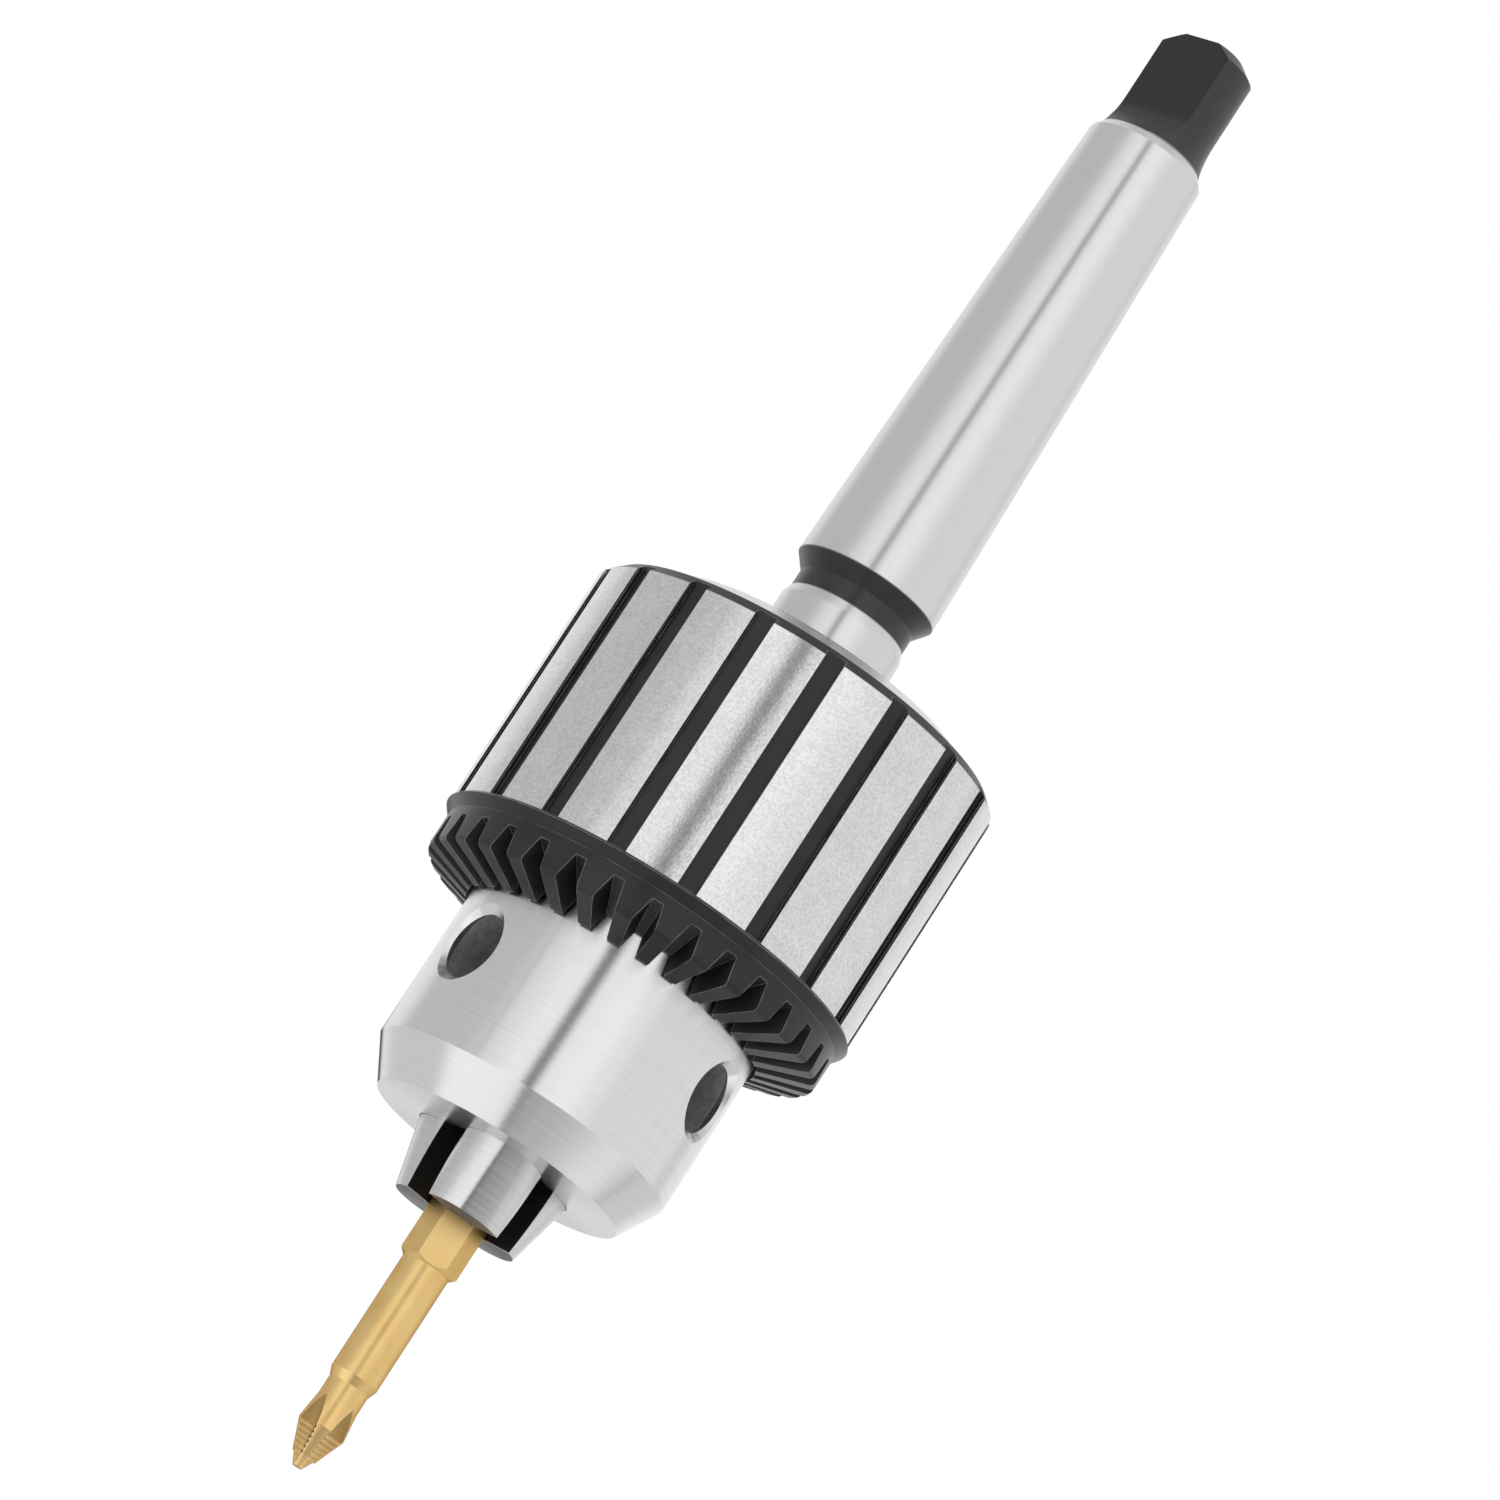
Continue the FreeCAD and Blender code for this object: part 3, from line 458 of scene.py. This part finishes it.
def gold_metal():
    """A gold coloured hard coating, with a painted highlight along its edges and painted shade,
    browner, where it doesn't face outward.
    """
    s = Surface("gold_coating")
    patch = s.noise(s.place, GOLD_NOISE, detail=4.0)
    # Painted shade, browner, on the faces that don't face outward, such as the flutes' walls
    flank_shade = s.step(s.outward(), FLANK_FULL, FLANK_GONE, FLANK_SHADE_SHARE, 0.0)
    tone = s.mix(flank_shade, s.mix(patch, GOLD_DEEP, GOLD_PALE), GOLD_SHADE_BROWN)
    # Painted highlight along the sharp edges
    edge_highlight = s.math("MULTIPLY", s.sharp_edge(GOLD_HIGHLIGHT_WIDTH), GOLD_HIGHLIGHT_SHARE)
    return s.finish(s.mix(edge_highlight, tone, GOLD_EDGE_HIGHLIGHT), s.ease(patch, *GOLD_ROUGHNESS),
                    s.rings(GOLD_LINES), bump=0.03, turned=0.4, grazing=GOLD_GRAZING)


def dress(node, material):
    """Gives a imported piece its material."""
    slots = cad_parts[node].data.materials
    slots.clear()
    slots.append(material)


def studio_world():
    """Soft white all round. What the metal mirrors is greyer on the left, with dark strips."""
    world = bpy.data.worlds.new("studio")
    bpy.context.scene.world = world
    world.use_nodes = True
    g = Graph(world.node_tree)
    direction = g.add("ShaderNodeTexCoord").outputs["Generated"]
    split = g.add("ShaderNodeSeparateXYZ", inputs={0: direction})
    x, y, z = split.outputs
    bearing = g.math("ARCTAN2", x, g.math("MULTIPLY", y, -1.0))
    strip = g.band(bearing, -STRIP_FAR, -STRIP_NEAR, STRIP_SOFT)
    left = g.band(bearing, -LEFT_FAR, -LEFT_NEAR, LEFT_SOFT)
    thin = g.band(bearing, -THIN_FAR, -THIN_NEAR, THIN_SOFT)
    rear = g.math("MULTIPLY", g.band(bearing, -REAR_FAR, -REAR_NEAR, STRIP_SOFT),
                  g.step(z, REAR_START, REAR_END, 1.0, 0.0))
    faded = g.band(bearing, FADED_NEAR, FADED_FAR, FADED_SOFT)
    sheen = g.step(g.math("ABSOLUTE", bearing), STRIP_FAR, SHEEN_REACH)
    shade = g.greys(sheen, (SHEEN_TONE, WHITE))
    noise = g.add("ShaderNodeTexNoise", noise_dimensions="1D", inputs={
        "W": bearing, "Scale": STREAKS, "Detail": 3.0})
    streak = g.step(noise.outputs["Fac"], STREAK_START, STREAK_END, 0.0, STREAK_DEPTH)
    shade = g.mix(streak, shade, grey(SHADE_TONE))
    low = g.step(z, LOW_END, LOW_START, 1.0, 0.0)
    share = g.math("ADD", LEFT_SHARE, g.math("MULTIPLY", low, LEFT_LOW_SHARE))
    shade = g.mix(g.math("MULTIPLY", left, share), shade, grey(SHADE_TONE))
    shade = g.mix(g.math("MULTIPLY", thin, THIN_SHARE), shade, grey(THIN_TONE))
    shade = g.mix(g.math("MULTIPLY", faded, FADED_SHARE), shade, grey(SHADE_TONE))
    dark = g.math("MAXIMUM", strip, rear)
    shade = g.mix(g.math("MULTIPLY", dark, STRIP_SHARE), shade, grey(STRIP_TONE))
    seen = g.add("ShaderNodeLightPath").outputs["Is Camera Ray"]
    light = g.add("ShaderNodeBackground", inputs={
        "Color": g.mix(seen, shade, grey(WHITE)), "Strength": 1.0})
    output = g.add("ShaderNodeOutputWorld")
    g.tree.links.new(light.outputs[0], output.inputs[0])


def mirrored_card(name, start, end, top, tones, top_shade=0.0):
    """A curved card about the axis that only reflections show, from one bearing to another."""
    corners = []
    for step in range(CARD_STEPS + 1):
        bearing = start + (end - start) * step / CARD_STEPS
        place = (math.sin(bearing) * CARD_DISTANCE, -math.cos(bearing) * CARD_DISTANCE)
        corners += [(*place, CARD_BOTTOM), (*place, top)]
    faces = [(2 * i, 2 * i + 2, 2 * i + 3, 2 * i + 1) for i in range(CARD_STEPS)]
    mesh = bpy.data.meshes.new(name)
    mesh.from_pydata(corners, [], faces)
    card = bpy.data.objects.new(name, mesh)
    bpy.context.collection.objects.link(card)
    card.visible_camera = False
    card.visible_diffuse = False
    card.visible_shadow = False
    material = bpy.data.materials.new(name)
    material.use_nodes = True
    g = Graph(material.node_tree)
    split = g.add("ShaderNodeSeparateXYZ", inputs={
        0: g.add("ShaderNodeTexCoord").outputs["Object"]})
    bearing = g.math("ARCTAN2", split.outputs[0], g.math("MULTIPLY", split.outputs[1], -1.0))
    colour = g.greys(g.step(bearing, start, end), tones)
    height = g.step(split.outputs[2], CARD_SHADE_START, CARD_SHADE_END)
    colour = g.mix(height, colour, g.mix(top_shade, colour, grey(CARD_SHADE_TONE)))
    glow = g.add("ShaderNodeEmission", inputs={"Color": colour, "Strength": 1.0})
    output = g.add("ShaderNodeOutputMaterial")
    g.tree.links.new(glow.outputs[0], output.inputs[0])
    mesh.materials.append(material)


def soft_light(name, place, size, power):
    """A round lamp aimed at the object, which reflections don't show."""
    lamp = bpy.data.lights.new(name, "AREA")
    lamp.shape = "DISK"
    lamp.size = size
    lamp.energy = power
    light = bpy.data.objects.new(name, lamp)
    light.location = place
    light.visible_glossy = False
    light.rotation_euler = (AIM - Vector(place)).to_track_quat("-Z", "Y").to_euler()
    bpy.context.collection.objects.link(light)


def pale_floor():
    bpy.ops.mesh.primitive_plane_add(size=FLOOR_SIZE, location=(0, 0, FLOOR_LEVEL))
    floor = bpy.context.object
    floor.name = "floor"
    material = bpy.data.materials.new("pale_floor")
    material.use_nodes = True
    shader = material.node_tree.nodes["Principled BSDF"]
    shader.inputs["Base Color"].default_value = grey(FLOOR_TONE)
    shader.inputs["Roughness"].default_value = FLOOR_ROUGHNESS
    floor.data.materials.append(material)


def make_camera():
    camera = bpy.data.objects.new("camera", bpy.data.cameras.new("camera"))
    bpy.context.collection.objects.link(camera)
    camera.data.lens = CAMERA_LENS
    camera.data.sensor_width = SENSOR_WIDTH
    forward = Vector((0, math.cos(CAMERA_RISE), math.sin(CAMERA_RISE)))
    above = Vector((0, -math.sin(CAMERA_RISE), math.cos(CAMERA_RISE)))
    aside = Vector((1, 0, 0))
    up = above * math.cos(CAMERA_ROLL) - aside * math.sin(CAMERA_ROLL)
    right = aside * math.cos(CAMERA_ROLL) + above * math.sin(CAMERA_ROLL)
    turn = Matrix((right, up, -forward)).transposed()
    camera.matrix_world = Matrix.Translation(AIM - forward * CAMERA_DISTANCE) @ turn.to_4x4()
    bpy.context.scene.camera = camera
    bpy.context.scene.view_settings.view_transform = "Standard"


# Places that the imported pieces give
SLEEVE_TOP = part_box("sleeve")[1].z
LAND_TOP = SLEEVE_TOP - RIM_HEIGHT
LAND_BOTTOM = LAND_TOP - LAND_HEIGHT
FRONT_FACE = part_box("chuck_body")[0].z
TANG_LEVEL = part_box("arbor")[1].z - TANG_HEIGHT
CARD_TOP = FRONT_FACE - CARD_DROP
AIM = Vector((AIM_ASIDE, 0, SLEEVE_TOP - AIM_BELOW_SLEEVE_TOP))

dress("arbor", arbor_metal())
dress("chuck_body", body_metal())
dress("sleeve", sleeve_metal())
for number in (1, 2, 3):
    dress(f"jaw_{number}", jaw_metal(number))
nut = nut_metal()
for half in ("a", "b"):
    dress(f"split_nut_half_{half}", nut)
dress("driver_bit", gold_metal())

studio_world()
pale_floor()
mirrored_card("dark_card", -STRIP_FAR, -STRIP_NEAR, CARD_TOP, DARK_CARD_TONES)
mirrored_card("rear_card", -REAR_FAR, -REAR_NEAR, REAR_CARD_TOP, DARK_CARD_TONES)
mirrored_card("grey_card", -STRIP_NEAR, RIGHT_REACH, CARD_TOP, GREY_CARD_TONES, top_shade=CARD_SHADE)
mirrored_card("white_card", -LEFT_REACH, -STRIP_FAR, CARD_TOP, WHITE_CARD_TONES)
soft_light("key_light", *KEY_LIGHT)
soft_light("fill_light", *FILL_LIGHT)
make_camera()
